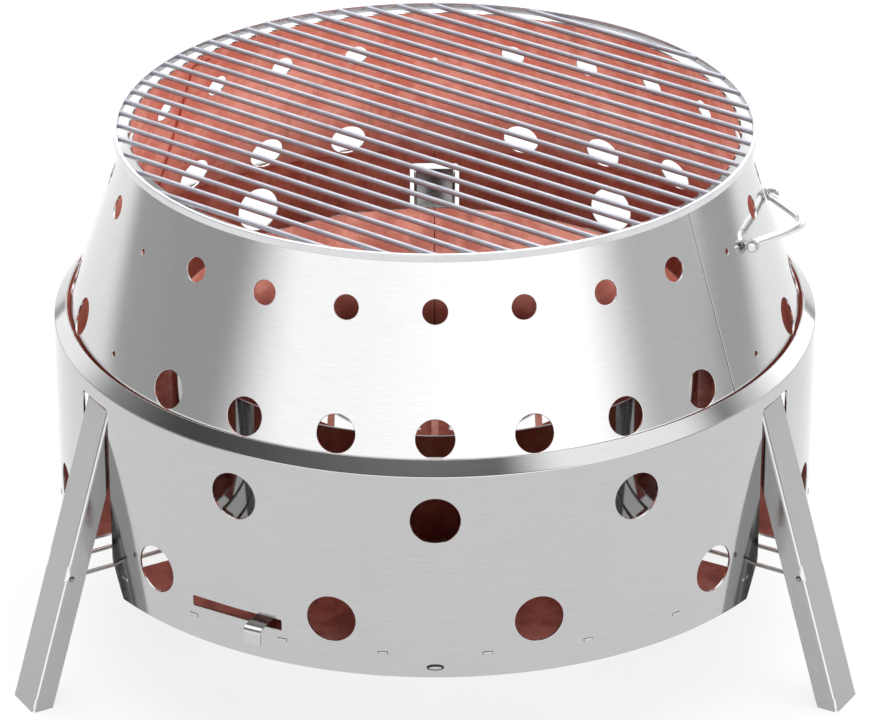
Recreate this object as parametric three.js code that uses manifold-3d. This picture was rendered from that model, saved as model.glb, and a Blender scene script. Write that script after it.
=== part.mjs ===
// Portable tabletop grill in stainless sheet: a vented outer ring on three folding legs, a vented
// conical wind guard in two halves, a wire grate, a fire ring over an air damper, and a bail handle.
// Millimetres, +Z up. Heights are first measured from the ring's lower edge, azimuths from the front
// (-Y) towards +X, and the finished assembly is then stood on the floor with its box centre over the
// origin.

import * as THREE from 'three';
import { mergeVertices } from 'three/addons/utils/BufferGeometryUtils.js';
import Module from 'manifold-3d';

const wasm = await Module();
wasm.setup();

// ---------- driving dimensions ----------

const RING_RADIUS = 215;
const RING_HEIGHT = 120.7;
const FLANGE_RISE = 7.2;
const FLANGE_INSET = 6.6;
const SHEET = 1.5;
const THIN_SHEET = 1.2;
const FIT_GAP = 0.3;

const RING_SEGMENTS = 72;
const HOLE_SEGMENTS = 12;
const SMALL_HOLE_SEGMENTS = 10;
const WIRE_SEGMENTS = 8;

const RING_HOLE = 26.8;
const UPPER_HOLE_HEIGHT = 94.6;
const LOWER_HOLE_HEIGHT = 31.9;
const LEG_AZIMUTHS = { left: -60, right: 60, rear: 180 };

const LEG_SLOT_WIDTH = 30;
const LEG_SLOT_TOP = 112.5;
const LEG_SLOT_FLARE_TOP = 20;
const LEG_SLOT_FLARE_WIDTH = 52;
const LEVER_SLOT = { from: -37.6, to: -22.6, bottom: 19.6, top: 25.8 };

const CONE_BOTTOM = 125.5;
const CONE_TOP = 229;
const CONE_RADIUS_AT_BOTTOM = 206.4;
const CONE_SLOPE = 0.3477; // radius lost for each millimetre of height
const CONE_SEAM_AZIMUTH = 52;
const CONE_LARGE_ROW = { height: 136.8, diameter: 21 };
const CONE_SMALL_ROW = { height: 200.3, diameter: 13.4 };
const CONE_HOLE_PITCH = 15;
const CONE_PIN_HOLES = { heights: [137.3, 194], diameter: 3.4 };

const PLATE_BOTTOM = 13.4;
const PLATE_TOP = PLATE_BOTTOM + SHEET;
const PLATE_RADIUS = RING_RADIUS - SHEET - FIT_GAP;
const PLATE_SLOT = { inner: 158, width: 44 };
const PLATE_TAB = { width: 5, first: 7.5, pitch: 15 };
const VENT = { count: 12, inner: 46, outer: 112, angle: 10 };
const PIVOT_RADIUS = 4;

const FIRE_RING_RADIUS = 150;
const FIRE_RING_TOP = 112;
const LEVER_NOTCH_TOP = 26; // of the notch in the fire ring that the lever passes through
const COAL_GRATE_RADIUS = 136;
const COAL_GRATE_HEIGHT = 34;

const DAMPER_RADIUS = 131;
const DAMPER_BOTTOM = PLATE_TOP + FIT_GAP;
const DAMPER_TOP = DAMPER_BOTTOM + THIN_SHEET;
const LEVER_AZIMUTH = -25.9;
const LEVER_WIDTH = 10.5;
const LEVER_HEIGHT = 22.7;
const LEVER_RIVETS = { inner: 118, outer: 126 };
const LEVER_RIVET_SHANK = 4;

const GRATE_TOP = 232.3;
const GRATE_RADIUS = 178.6;
const GRATE_WIRE = 3;
const GRATE_PITCH = 13.87;
const GRATE_WIRES_PER_SIDE = 12;
const GRATE_AZIMUTH = -38; // the wires' direction in plan, from +X

const FLOOR = -64.3;
const FOOT_RADIUS = 265.3;
const LEG_TILT = 16.8;
const LEG_TOP = 109.5;
const LEG_WIDTH = 25;
const LEG_DEPTH = 12;

const STRUT_WIRE = 2.4;
const STRUT_HALF_WIDTH = 9.8;
const STRUT_HINGE = { radius: 176, height: 14.5 };
const LEG_PIVOT = { radius: 238.5, height: 13.2 };

const HANDLE_AZIMUTH = 77.4;
const HANDLE_HEIGHT = 189.9;
const HANDLE_AXIS_RADIUS = 185;
const HANDLE_WIRE = 5;
const HANDLE_EYE_OFFSET = 35;
const HANDLE_EYE_WALL = 1.2;
const HANDLE_REACH = 21.8;
const HANDLE_ROUND = 0.25; // roundness of the bail's corner, as a part of its half width

// ---------- finishes ----------

const finish = (color, roughness, metalness = 1) => () =>
  new THREE.MeshStandardMaterial({ color, roughness, metalness });
const polishedSheet = finish(0xd2d2d0, 0.25);
const brushedSheet = finish(0xb4b4b2, 0.35);
const firedSheet = finish(0x8a5a48, 0.5);
const plainWire = finish(0xa9adb8, 0.35);
const brightWire = finish(0xe0e0de, 0.15);

// ---------- small helpers ----------

const rad = THREE.MathUtils.degToRad;
const vector = (x, y, z) => new THREE.Vector3(x, y, z);
const point = (x, y) => new THREE.Vector2(x, y);

// A closed geometry as a solid: shared corners are merged and triangles of no area are dropped.
function solidOf(geometry) {
  const bare = geometry.clone();
  bare.deleteAttribute('normal');
  bare.deleteAttribute('uv');
  const merged = mergeVertices(bare, 1e-3);
  const index = merged.index.array;
  const triangles = [];
  for (let i = 0; i < index.length; i += 3) {
    const [a, b, c] = [index[i], index[i + 1], index[i + 2]];
    if (a !== b && b !== c && c !== a) triangles.push(a, b, c);
  }
  return new wasm.Manifold(new wasm.Mesh({
    numProp: 3,
    vertProperties: Float32Array.from(merged.attributes.position.array),
    triVerts: Uint32Array.from(triangles),
  }));
}

function geometryOf(solid) {
  const mesh = solid.getMesh();
  const geometry = new THREE.BufferGeometry();
  geometry.setAttribute('position', new THREE.BufferAttribute(mesh.vertProperties, 3));
  geometry.setIndex(new THREE.BufferAttribute(mesh.triVerts, 1));
  geometry.computeVertexNormals();
  return geometry;
}

const joined = (solids) => solids.reduce((whole, next) => whole.add(next));
const without = (body, cutters) => (cutters.length ? body.subtract(joined(cutters)) : body);

// A turned solid about Z. The outline holds [radius, height] pairs, inner side last, counter-clockwise.
function turned(outline, segments = RING_SEGMENTS) {
  const points = [...outline, outline[0]].map(([r, z]) => point(r, z));
  return new THREE.LatheGeometry(points, segments).rotateX(Math.PI / 2);
}

// A flat outline in the XY plane made into a plate from one height to another.
function plate(points, bottom, top) {
  const outline = new THREE.Shape(points.map(([x, y]) => point(x, y)));
  return new THREE.ExtrudeGeometry(outline, { depth: top - bottom, bevelEnabled: false })
    .translate(0, 0, bottom);
}

// An outline in the plane of outward distance and height, made into a strip across the front (-Y).
function frontStrip(points, width) {
  const outline = new THREE.Shape(points.map(([out, z]) => point(out, z)));
  return new THREE.ExtrudeGeometry(outline, { depth: width, bevelEnabled: false })
    .translate(0, 0, -width / 2)
    .rotateX(Math.PI / 2)
    .rotateZ(-Math.PI / 2);
}

function box(width, depth, height, x, y, z) {
  return new THREE.BoxGeometry(width, depth, height).translate(x, y, z);
}

// A cylinder of the given diameter between two points.
function rod(from, to, diameter, segments = WIRE_SEGMENTS) {
  const along = to.clone().sub(from);
  const turn = new THREE.Quaternion().setFromUnitVectors(vector(0, 1, 0), along.clone().normalize());
  return new THREE.CylinderGeometry(diameter / 2, diameter / 2, along.length(), segments)
    .applyQuaternion(turn)
    .translate(...from.clone().add(to).multiplyScalar(0.5).toArray());
}

// A round cutter that points outward from the axis at one azimuth and height.
function radialCutter(azimuth, height, diameter, innerRadius, outerRadius, segments) {
  return solidOf(rod(vector(0, -innerRadius, height), vector(0, -outerRadius, height), diameter, segments)
    .rotateZ(rad(azimuth)));
}

// A wedge between two azimuths, radii and heights.
function wedge(from, to, innerRadius, outerRadius, bottom, top) {
  const steps = 3;
  const corners = [];
  for (let i = 0; i <= steps; i++) corners.push([outerRadius, from + ((to - from) * i) / steps]);
  for (let i = steps; i >= 0; i--) corners.push([innerRadius, from + ((to - from) * i) / steps]);
  return plate(corners.map(([r, a]) => [r * Math.sin(rad(a)), -r * Math.cos(rad(a))]), bottom, top);
}

const coneRadius = (height) => CONE_RADIUS_AT_BOTTOM - CONE_SLOPE * (height - CONE_BOTTOM);
const everyStep = (first, pitch) => Array.from({ length: 360 / pitch }, (_, i) => first + i * pitch);
const atLeg = (azimuth, clear) => Object.values(LEG_AZIMUTHS).some((leg) => {
  const apart = Math.abs((((azimuth - leg) % 360) + 540) % 360 - 180);
  return apart < clear;
});

// ---------- outer ring ----------

function outerRing() {
  const inner = RING_RADIUS - SHEET;
  const lip = RING_RADIUS - FLANGE_INSET;
  const lipTop = RING_HEIGHT + FLANGE_RISE;
  const lean = Math.atan2(FLANGE_INSET, FLANGE_RISE);
  const shell = solidOf(turned([
    [RING_RADIUS, 0],
    [RING_RADIUS, RING_HEIGHT],
    [lip, lipTop],
    [lip - SHEET * Math.cos(lean), lipTop - SHEET * Math.sin(lean)],
    [inner, RING_HEIGHT - SHEET * Math.tan(lean / 2)],
    [inner, 0],
  ]));
  const cutters = [];
  const reach = [inner - 10, RING_RADIUS + 10];
  for (const azimuth of everyStep(0, 30)) {
    if (atLeg(azimuth, 1)) continue;
    cutters.push(radialCutter(azimuth, UPPER_HOLE_HEIGHT, RING_HOLE, ...reach, HOLE_SEGMENTS));
  }
  for (const azimuth of everyStep(15, 30)) {
    cutters.push(radialCutter(azimuth, LOWER_HOLE_HEIGHT, RING_HOLE, ...reach, HOLE_SEGMENTS));
  }
  for (const azimuth of Object.values(LEG_AZIMUTHS)) cutters.push(legSlotCutter(azimuth));
  const { from, to, bottom, top } = LEVER_SLOT;
  cutters.push(solidOf(wedge(from, to, ...reach, bottom, top)));
  for (const azimuth of everyStep(PLATE_TAB.first, PLATE_TAB.pitch)) {
    const slot = box(PLATE_TAB.width + 2 * FIT_GAP, 20, SHEET + 2 * FIT_GAP,
      0, -RING_RADIUS, PLATE_BOTTOM + SHEET / 2);
    cutters.push(solidOf(slot.rotateZ(rad(azimuth))));
  }
  return without(shell, cutters);
}

// The slot that a leg stands in, open and flared at the ring's lower edge.
function legSlotCutter(azimuth) {
  const half = LEG_SLOT_WIDTH / 2;
  const flare = LEG_SLOT_FLARE_WIDTH / 2;
  const outline = new THREE.Shape([
    point(-flare, -1), point(flare, -1), point(half, LEG_SLOT_FLARE_TOP), point(half, LEG_SLOT_TOP),
    point(-half, LEG_SLOT_TOP), point(-half, LEG_SLOT_FLARE_TOP),
  ]);
  const cutter = new THREE.ExtrudeGeometry(outline, { depth: 30, bevelEnabled: false })
    .translate(0, 0, RING_RADIUS - 15)
    .rotateX(Math.PI / 2)
    .rotateZ(rad(azimuth));
  return solidOf(cutter);
}

// ---------- cone ----------

function coneShell() {
  const wall = THIN_SHEET / Math.cos(Math.atan(CONE_SLOPE));
  const low = coneRadius(CONE_BOTTOM);
  const high = coneRadius(CONE_TOP);
  const shell = solidOf(turned([
    [low, CONE_BOTTOM], [high, CONE_TOP], [high - wall, CONE_TOP], [low - wall, CONE_BOTTOM],
  ]));
  const cutters = [];
  for (const { height, diameter } of [CONE_LARGE_ROW, CONE_SMALL_ROW]) {
    const reach = [coneRadius(height) - 14, coneRadius(height) + 14];
    for (const azimuth of everyStep(0, CONE_HOLE_PITCH)) {
      if (atLeg(azimuth, 1)) continue;
      cutters.push(radialCutter(azimuth, height, diameter, ...reach, SMALL_HOLE_SEGMENTS));
    }
  }
  for (const height of CONE_PIN_HOLES.heights) {
    const reach = [coneRadius(height) - 14, coneRadius(height) + 14];
    for (const azimuth of Object.values(LEG_AZIMUTHS)) {
      cutters.push(radialCutter(azimuth, height, CONE_PIN_HOLES.diameter, ...reach, 6));
    }
  }
  return without(shell, cutters);
}

// One half of the cone: side +1 is the right half, seen from the front, and -1 the left half.
function coneHalf(shell, side) {
  const reach = 2 * RING_RADIUS;
  const keep = box(reach, 2 * reach, reach, (side * (reach + FIT_GAP)) / 2, 0, CONE_TOP)
    .rotateZ(rad(CONE_SEAM_AZIMUTH));
  return shell.intersect(solidOf(keep));
}

// A strap behind each seam, which the two halves are fastened to.
function seamStrap() {
  const inset = 2 * FIT_GAP + THIN_SHEET / Math.cos(Math.atan(CONE_SLOPE));
  const bottom = CONE_BOTTOM + 6;
  const top = CONE_TOP - 6;
  const [low, high] = [coneRadius(bottom) - inset, coneRadius(top) - inset];
  return frontStrip([
    [low, bottom], [high, top], [high - THIN_SHEET, top], [low - THIN_SHEET, bottom],
  ], 16);
}

// An angle on the ring's inner wall that the cone's lower edge stands on.
function coneRest() {
  const wall = RING_RADIUS - SHEET - 4 * FIT_GAP;
  const top = CONE_BOTTOM - FIT_GAP;
  return frontStrip([
    [wall, top - 12], [wall, top - SHEET - 3], [wall - 4, top], [wall - 12, top],
    [wall - 12, top - SHEET], [wall - 4 - SHEET, top - SHEET], [wall - SHEET, top - SHEET - 4],
    [wall - SHEET, top - 12],
  ], 18);
}

// ---------- base plate, damper, fire ring, coal grate ----------

function ventCutters(bottom, top) {
  const { count, inner, outer, angle } = VENT;
  return everyStep(180 / count, 360 / count).map((azimuth) =>
    solidOf(wedge(azimuth - angle / 2, azimuth + angle / 2, inner, outer, bottom, top)));
}

function disc(radius, bottom, top, segments = RING_SEGMENTS) {
  return solidOf(new THREE.CylinderGeometry(radius, radius, top - bottom, segments)
    .rotateX(Math.PI / 2)
    .translate(0, 0, (bottom + top) / 2));
}

function basePlate() {
  const cutters = [...ventCutters(0, 40), disc(PIVOT_RADIUS + FIT_GAP, 0, 40, 16)];
  for (const azimuth of Object.values(LEG_AZIMUTHS)) {
    const { inner, width } = PLATE_SLOT;
    cutters.push(solidOf(box(width, 100, 20, 0, -inner - 50, PLATE_TOP).rotateZ(rad(azimuth))));
  }
  const plateWithSlots = without(disc(PLATE_RADIUS, PLATE_BOTTOM, PLATE_TOP), cutters);
  const tabs = everyStep(PLATE_TAB.first, PLATE_TAB.pitch).map((azimuth) =>
    solidOf(box(PLATE_TAB.width, 12, SHEET, 0, -(RING_RADIUS - 5.6), PLATE_BOTTOM + SHEET / 2)
      .rotateZ(rad(azimuth))));
  const locators = [0, 120, 240].map((azimuth) =>
    solidOf(box(14, THIN_SHEET, 9, 0, -(FIRE_RING_RADIUS - THIN_SHEET - 1.2), PLATE_TOP + 4)
      .rotateZ(rad(azimuth))));
  return joined([plateWithSlots, ...tabs, ...locators]);
}

// The holes for the two rivets that hold the lever, as it lies at the front.
function leverRivetHoles() {
  return Object.values(LEVER_RIVETS).map((radius) =>
    rod(vector(0, -radius, 0), vector(0, -radius, 40), LEVER_RIVET_SHANK + 2 * FIT_GAP, 8));
}

function airDamper() {
  return without(disc(DAMPER_RADIUS, DAMPER_BOTTOM, DAMPER_TOP), [
    ...ventCutters(0, 40),
    disc(PIVOT_RADIUS + FIT_GAP, 0, 40, 16),
    ...leverRivetHoles().map((hole) => solidOf(hole.rotateZ(rad(LEVER_AZIMUTH)))),
  ]);
}

// A strip that runs from the damper out through the ring and turns down into a finger hook.
function damperLever() {
  const low = DAMPER_TOP + FIT_GAP;
  const t = THIN_SHEET;
  const top = LEVER_HEIGHT + t / 2;
  const tip = RING_RADIUS + 10.5;
  const strip = solidOf(frontStrip([
    [114, low], [194, low], [203, top - t], [tip - 4, top - t], [tip - t - 0.8, top - t - 1.2],
    [tip - t, top - t - 3.6], [tip - t, 13], [tip, 13], [tip, top - 4], [tip - 1.2, top - 1.2],
    [tip - 4, top], [202.4, top], [193.4, low + t], [114, low + t],
  ], LEVER_WIDTH));
  return without(strip, leverRivetHoles().map(solidOf));
}

// A vertical rivet at the given distance from the axis, domed above and either flush or headed below.
function rivet(radius, shankRadius, headRadius, bottom, top, head, headedBelow) {
  const high = top + FIT_GAP;
  const low = bottom - FIT_GAP;
  const foot = headedBelow
    ? [[0, low - head], [headRadius, low - head], [headRadius, low], [shankRadius, low]]
    : [[0, bottom], [shankRadius, bottom]];
  return solidOf(turned([
    ...foot, [shankRadius, high], [headRadius, high], [headRadius * 0.7, high + head], [0, high + head],
  ], 12).translate(0, -radius, 0));
}

function fireRing() {
  const bottom = PLATE_TOP + FIT_GAP;
  const wall = FIRE_RING_RADIUS - THIN_SHEET;
  const shell = solidOf(turned([
    [FIRE_RING_RADIUS, bottom], [FIRE_RING_RADIUS, FIRE_RING_TOP],
    [wall, FIRE_RING_TOP], [wall, bottom],
  ], 60));
  const { from, to } = LEVER_SLOT;
  const notch = wedge(from - 6, to + 6, wall - 8, FIRE_RING_RADIUS + 8, 0, LEVER_NOTCH_TOP);
  return shell.subtract(solidOf(notch));
}

// Round coal grate: a flat rim with square bars across it, on three feet.
function charcoalGrate() {
  const bar = 4;
  const [low, high] = [COAL_GRATE_HEIGHT, COAL_GRATE_HEIGHT + bar];
  const inner = COAL_GRATE_RADIUS - 5;
  const solids = [solidOf(turned([
    [COAL_GRATE_RADIUS, low], [COAL_GRATE_RADIUS, high], [inner, high], [inner, low],
  ], 48))];
  for (let i = -6; i <= 6; i++) {
    const x = i * 20;
    const half = Math.sqrt((inner + 2) ** 2 - x ** 2);
    solids.push(solidOf(box(bar, 2 * half, bar - 1, x, 0, (low + high) / 2)));
  }
  const footBottom = PLATE_TOP + FIT_GAP;
  for (const azimuth of [60, 180, 300]) {
    const foot = box(14, 3, low + 1 - footBottom,
      0, -(COAL_GRATE_RADIUS - 2), (low + 1 + footBottom) / 2);
    solids.push(solidOf(foot.rotateZ(rad(azimuth))));
  }
  return joined(solids);
}

// ---------- grill grate ----------

function grillGrate() {
  const rimInner = GRATE_RADIUS - 2.2;
  const rimBottom = GRATE_TOP - 4.4;
  const wireHeight = GRATE_TOP - GRATE_WIRE / 2;
  const rimTop = GRATE_TOP + 0.1;
  const solids = [solidOf(turned([
    [GRATE_RADIUS, rimBottom], [GRATE_RADIUS, rimTop], [rimInner, rimTop], [rimInner, rimBottom],
  ]))];
  for (let i = -GRATE_WIRES_PER_SIDE; i <= GRATE_WIRES_PER_SIDE; i++) {
    const y = i * GRATE_PITCH;
    const half = Math.sqrt((rimInner + 0.8) ** 2 - y ** 2);
    const wire = rod(vector(-half, y, wireHeight), vector(half, y, wireHeight), GRATE_WIRE, 6);
    solids.push(solidOf(wire.rotateZ(rad(GRATE_AZIMUTH))));
  }
  return joined(solids);
}

// ---------- legs and struts, built at the front and turned to their azimuth ----------

// Channel section with its web outward, cut level at the floor and at the top, closed by a foot plate.
function leg() {
  const [w, d, t] = [LEG_WIDTH / 2, LEG_DEPTH, THIN_SHEET];
  const length = 2.4 * (LEG_TOP - FLOOR);
  const section = [[-w, 0], [w, 0], [w, d], [w - t, d], [w - t, t], [t - w, t], [t - w, d], [-w, d]];
  const standing = solidOf(plate(section, -length / 2, length / 2)
    .rotateX(-rad(LEG_TILT))
    .translate(0, -FOOT_RADIUS, FLOOR));
  const between = box(200, 200, LEG_TOP - FLOOR, 0, -FOOT_RADIUS + 40, (LEG_TOP + FLOOR) / 2);
  const channel = standing.intersect(solidOf(between));
  const depth = d / Math.cos(rad(LEG_TILT));
  const foot = solidOf(box(2 * w - 0.4, depth - 0.6, 2, 0, -FOOT_RADIUS + depth / 2, FLOOR + 1));
  const pivot = rod(vector(-w - 5, -LEG_PIVOT.radius, LEG_PIVOT.height),
    vector(w + 5, -LEG_PIVOT.radius, LEG_PIVOT.height), STRUT_WIRE + 2 * FIT_GAP);
  return channel.add(foot).subtract(solidOf(pivot));
}

// One bent wire: a crossbar in the clip, two arms, and ends turned out through the leg's sides.
function strut() {
  const w = STRUT_HALF_WIDTH;
  const tip = LEG_WIDTH / 2 + 1.4;
  const at = (x, { radius, height }) => vector(x, -radius, height);
  const spill = STRUT_WIRE * 0.35;
  return joined([
    rod(at(-w - spill, STRUT_HINGE), at(w + spill, STRUT_HINGE), STRUT_WIRE),
    rod(at(-w, STRUT_HINGE), at(-w, LEG_PIVOT), STRUT_WIRE),
    rod(at(w, STRUT_HINGE), at(w, LEG_PIVOT), STRUT_WIRE),
    rod(at(w - spill, LEG_PIVOT), at(tip, LEG_PIVOT), STRUT_WIRE),
    rod(at(-tip, LEG_PIVOT), at(spill - w, LEG_PIVOT), STRUT_WIRE),
  ].map(solidOf));
}

// The strap under the base plate that holds a strut's crossbar in a rolled eye.
function strutClip() {
  const { radius, height } = STRUT_HINGE;
  const bore = STRUT_WIRE + 2 * FIT_GAP;
  const outer = bore + 2 * 1.1;
  const width = 12;
  const across = (diameter, reach, segments) => solidOf(
    rod(vector(-reach, -radius, height), vector(reach, -radius, height), diameter, segments));
  const strapTop = PLATE_BOTTOM - FIT_GAP;
  const strap = solidOf(box(width, radius - 140, 1.2, 0, -(radius + 140) / 2, strapTop - 0.6));
  return across(outer, width / 2, 12).add(strap).subtract(across(bore, width, 12));
}

// ---------- carry handle, built at the front and turned to its azimuth ----------

// A bail in plan: straight ends along the hinge line and, between the eyes, two straight sides that
// meet in a rounded corner (a hyperbola).
class BailCurve extends THREE.Curve {
  getPoint(t, target = new THREE.Vector3()) {
    const x = (2 * t - 1) * (HANDLE_EYE_OFFSET + 4);
    const across = Math.min(1, Math.abs(x) / (HANDLE_EYE_OFFSET - 3));
    const bend = (share) => Math.hypot(share, HANDLE_ROUND) - HANDLE_ROUND;
    const reach = HANDLE_REACH * (1 - bend(across) / bend(1));
    return target.set(x, -HANDLE_AXIS_RADIUS - reach, HANDLE_HEIGHT);
  }
}

function carryHandle() {
  const section = new THREE.Shape();
  section.absarc(0, 0, HANDLE_WIRE / 2, 0, 2 * Math.PI);
  return new THREE.ExtrudeGeometry(section, {
    steps: 28, curveSegments: WIRE_SEGMENTS, bevelEnabled: false, extrudePath: new BailCurve(),
  });
}

// A small lug with a hole for the bail, standing on the cone.
function handleEye(side) {
  const x = side * HANDLE_EYE_OFFSET;
  const [out, height] = [HANDLE_AXIS_RADIUS, HANDLE_HEIGHT];
  const half = 1.1;
  const bore = HANDLE_WIRE + 2 * FIT_GAP;
  const along = (diameter, reach) => solidOf(
    rod(vector(x - reach, -out, height), vector(x + reach, -out, height), diameter, 16));
  const back = Math.sqrt(coneRadius(height) ** 2 - (Math.abs(x) + half) ** 2);
  const web = solidOf(box(2 * half, out - back, 6, x, -(out + back) / 2, height));
  const clear = 2 * FIT_GAP;
  const reach = 20;
  const outside = solidOf(turned([
    [coneRadius(height - reach) + clear, height - reach], [400, height - reach],
    [400, height + reach], [coneRadius(height + reach) + clear, height + reach],
  ]));
  const lug = along(bore + 2 * HANDLE_EYE_WALL, half).add(web).intersect(outside);
  return lug.subtract(along(bore, 2 * half));
}

// ---------- assembly ----------

const grill = new THREE.Group();

function place(name, shape, material, azimuth = 0) {
  const geometry = shape.isBufferGeometry ? shape : geometryOf(shape);
  const mesh = new THREE.Mesh(geometry, material());
  mesh.name = name;
  mesh.rotation.z = rad(azimuth);
  grill.add(mesh);
}

place('outer_ring', outerRing(), polishedSheet);
const cone = coneShell();
place('cone_half_left', coneHalf(cone, -1), polishedSheet);
place('cone_half_right', coneHalf(cone, 1), polishedSheet);
place('seam_strap_front', seamStrap(), firedSheet, CONE_SEAM_AZIMUTH);
place('seam_strap_rear', seamStrap(), firedSheet, CONE_SEAM_AZIMUTH + 180);
for (const number of [1, 2, 3]) {
  place(`cone_rest_${number}`, coneRest(), brushedSheet, 120 * (number - 1));
}

place('base_plate', basePlate(), firedSheet);
place('air_damper', airDamper(), firedSheet);
place('damper_pivot', rivet(0, PIVOT_RADIUS, 8, PLATE_BOTTOM, DAMPER_TOP, 1.2, true), brushedSheet);
place('damper_lever', damperLever(), brushedSheet, LEVER_AZIMUTH);
for (const [name, radius] of Object.entries(LEVER_RIVETS)) {
  const leverTop = DAMPER_TOP + FIT_GAP + THIN_SHEET;
  const shape = rivet(radius, LEVER_RIVET_SHANK / 2, 3.6, DAMPER_BOTTOM, leverTop, 0.8, false);
  place(`lever_rivet_${name}`, shape, brushedSheet, LEVER_AZIMUTH);
}
place('fire_ring', fireRing(), firedSheet);
place('charcoal_grate', charcoalGrate(), firedSheet);
place('grill_grate', grillGrate(), plainWire);

for (const [side, azimuth] of Object.entries(LEG_AZIMUTHS)) {
  place(`leg_${side}`, leg(), brushedSheet, azimuth);
  place(`strut_${side}`, strut(), brightWire, azimuth);
  place(`strut_clip_${side}`, strutClip(), brushedSheet, azimuth);
}

place('carry_handle', carryHandle(), brightWire, HANDLE_AZIMUTH);
place('handle_eye_near', handleEye(-1), brushedSheet, HANDLE_AZIMUTH);
place('handle_eye_far', handleEye(1), brushedSheet, HANDLE_AZIMUTH);

// Stand the grill on the floor with the middle of its box over the origin.
const extent = new THREE.Box3().setFromObject(grill);
const middle = extent.getCenter(new THREE.Vector3());
grill.position.set(-middle.x, -middle.y, -extent.min.z);
grill.updateMatrixWorld(true);

export default grill;
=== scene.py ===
"""Portable tabletop grill: fine sheet and wire pieces, finishes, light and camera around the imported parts.

Shapes are made in millimetres in a local frame: heights from the ring's lower edge, the ring's axis
at the origin, each piece at the front (-Y), and then turned to its azimuth and moved to the row frame.
"""

import math

import bpy
import numpy as np
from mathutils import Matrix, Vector
from mathutils.geometry import delaunay_2d_cdt


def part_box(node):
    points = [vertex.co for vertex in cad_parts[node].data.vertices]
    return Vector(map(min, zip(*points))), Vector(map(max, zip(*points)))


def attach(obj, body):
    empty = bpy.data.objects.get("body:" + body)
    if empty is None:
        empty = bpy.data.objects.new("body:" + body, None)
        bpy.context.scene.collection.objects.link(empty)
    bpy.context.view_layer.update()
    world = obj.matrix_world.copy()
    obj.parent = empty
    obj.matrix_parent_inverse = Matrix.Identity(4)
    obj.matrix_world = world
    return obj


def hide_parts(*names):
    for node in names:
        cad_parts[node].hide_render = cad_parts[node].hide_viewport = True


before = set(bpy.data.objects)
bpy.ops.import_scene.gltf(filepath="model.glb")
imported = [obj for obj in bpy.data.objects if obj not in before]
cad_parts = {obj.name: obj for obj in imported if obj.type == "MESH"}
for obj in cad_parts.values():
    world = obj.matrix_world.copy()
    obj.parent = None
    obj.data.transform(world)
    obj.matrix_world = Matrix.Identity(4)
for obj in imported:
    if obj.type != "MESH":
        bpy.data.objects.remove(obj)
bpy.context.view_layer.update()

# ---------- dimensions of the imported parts, in millimetres ----------

MM = 0.001
RING_RADIUS = 215.0
RING_HEIGHT = 120.7
FLANGE_RISE = 7.2
FLANGE_INSET = 6.6
SHEET = 1.5
THIN_SHEET = 1.2
RING_HOLE = 26.8
UPPER_HOLE_HEIGHT = 94.6
LOWER_HOLE_HEIGHT = 31.9
LEG_AZIMUTHS = {"left": -60, "right": 60, "rear": 180}
LEG_SLOT_WIDTH = 30.0
LEG_SLOT_TOP = 112.5
LEG_SLOT_FLARE_TOP = 20.0
LEG_SLOT_FLARE_WIDTH = 51.0
LEVER_SLOT_AZIMUTHS = (-37.6, -22.6)
LEVER_SLOT_HEIGHTS = (19.6, 25.8)
STOP_LUG_HEIGHT = 6.3
CONE_BOTTOM = 125.5
CONE_TOP = 229.0
CONE_RADIUS_AT_BOTTOM = 206.4
CONE_SLOPE = 0.3477
CONE_SEAM_AZIMUTH = 52
CONE_SEAM_GAP = 0.36
CONE_ROWS = ((136.8, 21.0), (200.3, 13.4))
CONE_PIN_HOLES = (137.3, 194.0)
CONE_PIN_HOLE = 3.4
PLATE_BOTTOM = 13.4
PLATE_TOP = 14.9
PLATE_RADIUS = 213.2
PLATE_SLOT_INNER = 158.0
PLATE_SLOT_WIDTH = 44.0
TAB_AZIMUTHS = np.arange(-172.5, 173, 15)
TAB_WIDTH = 5.0
TAB_GAP = 0.06
VENTS = {"count": 12, "inner": 46.0, "outer": 112.0, "angle": 10.0}
LOCATOR_AZIMUTHS = (0, 120, 240)
LOCATOR_RADIUS = 148.2
LOCATOR_WIDTH = 14.0
LOCATOR_HEIGHT = 8.5
PIVOT_HOLE = 8.6
DAMPER_RADIUS = 131.0
DAMPER_TOP = 16.4
FIRE_RING_RADIUS = 150.0
FIRE_RING_TOP = 112.0
FIRE_RING_NOTCH_TOP = 26.0
LEVER_AZIMUTH = -25.9
LEVER_WIDTH = 10.5
LEVER_TOP = 23.3
LEVER_FOOT = 17.9
LEVER_TIP = (225.5, 13.0)
LEVER_STEP_RADII = (202.4, 193.4)
LEVER_INNER_END = 114.0
RIVET_RADII = (118, 126)
RIVET_HOLE = 4.6
GRATE_TOP = 232.3
GRATE_RADIUS = 178.6
GRATE_RIM_DEPTH = 2.2
GRATE_RIM_HEIGHT = 4.4
GRATE_WIRE = 3.0
GRATE_PITCH = 13.87
GRATE_WIRES_PER_SIDE = 12
GRATE_AZIMUTH = -38
FLOOR = -64.3
FOOT_RADIUS = 265.3
LEG_TILT = 16.8
LEG_TOP = 109.5
LEG_WIDTH = 25.0
LEG_DEPTH = 12.0
LEG_FOLD = 1.9
LEG_PIVOT_HOLE = 3.0
FOOT_PLATE = 2.0
STRUT_WIRE = 2.4
STRUT_HALF_WIDTH = 9.8
STRUT_HINGE = (176.0, 14.5)
LEG_PIVOT = (238.5, 13.2)
HANDLE_AZIMUTH = 77.4
HANDLE_HEIGHT = 189.9
HANDLE_AXIS_RADIUS = 185.0
HANDLE_WIRE = 5.0
HANDLE_EYE_OFFSET = 35.0
HANDLE_EYE_RADIUS = 4.0
HANDLE_EYE_SHEET = 2.2
HANDLE_REACH = 21.8
HANDLE_ROUND = 0.25

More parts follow.
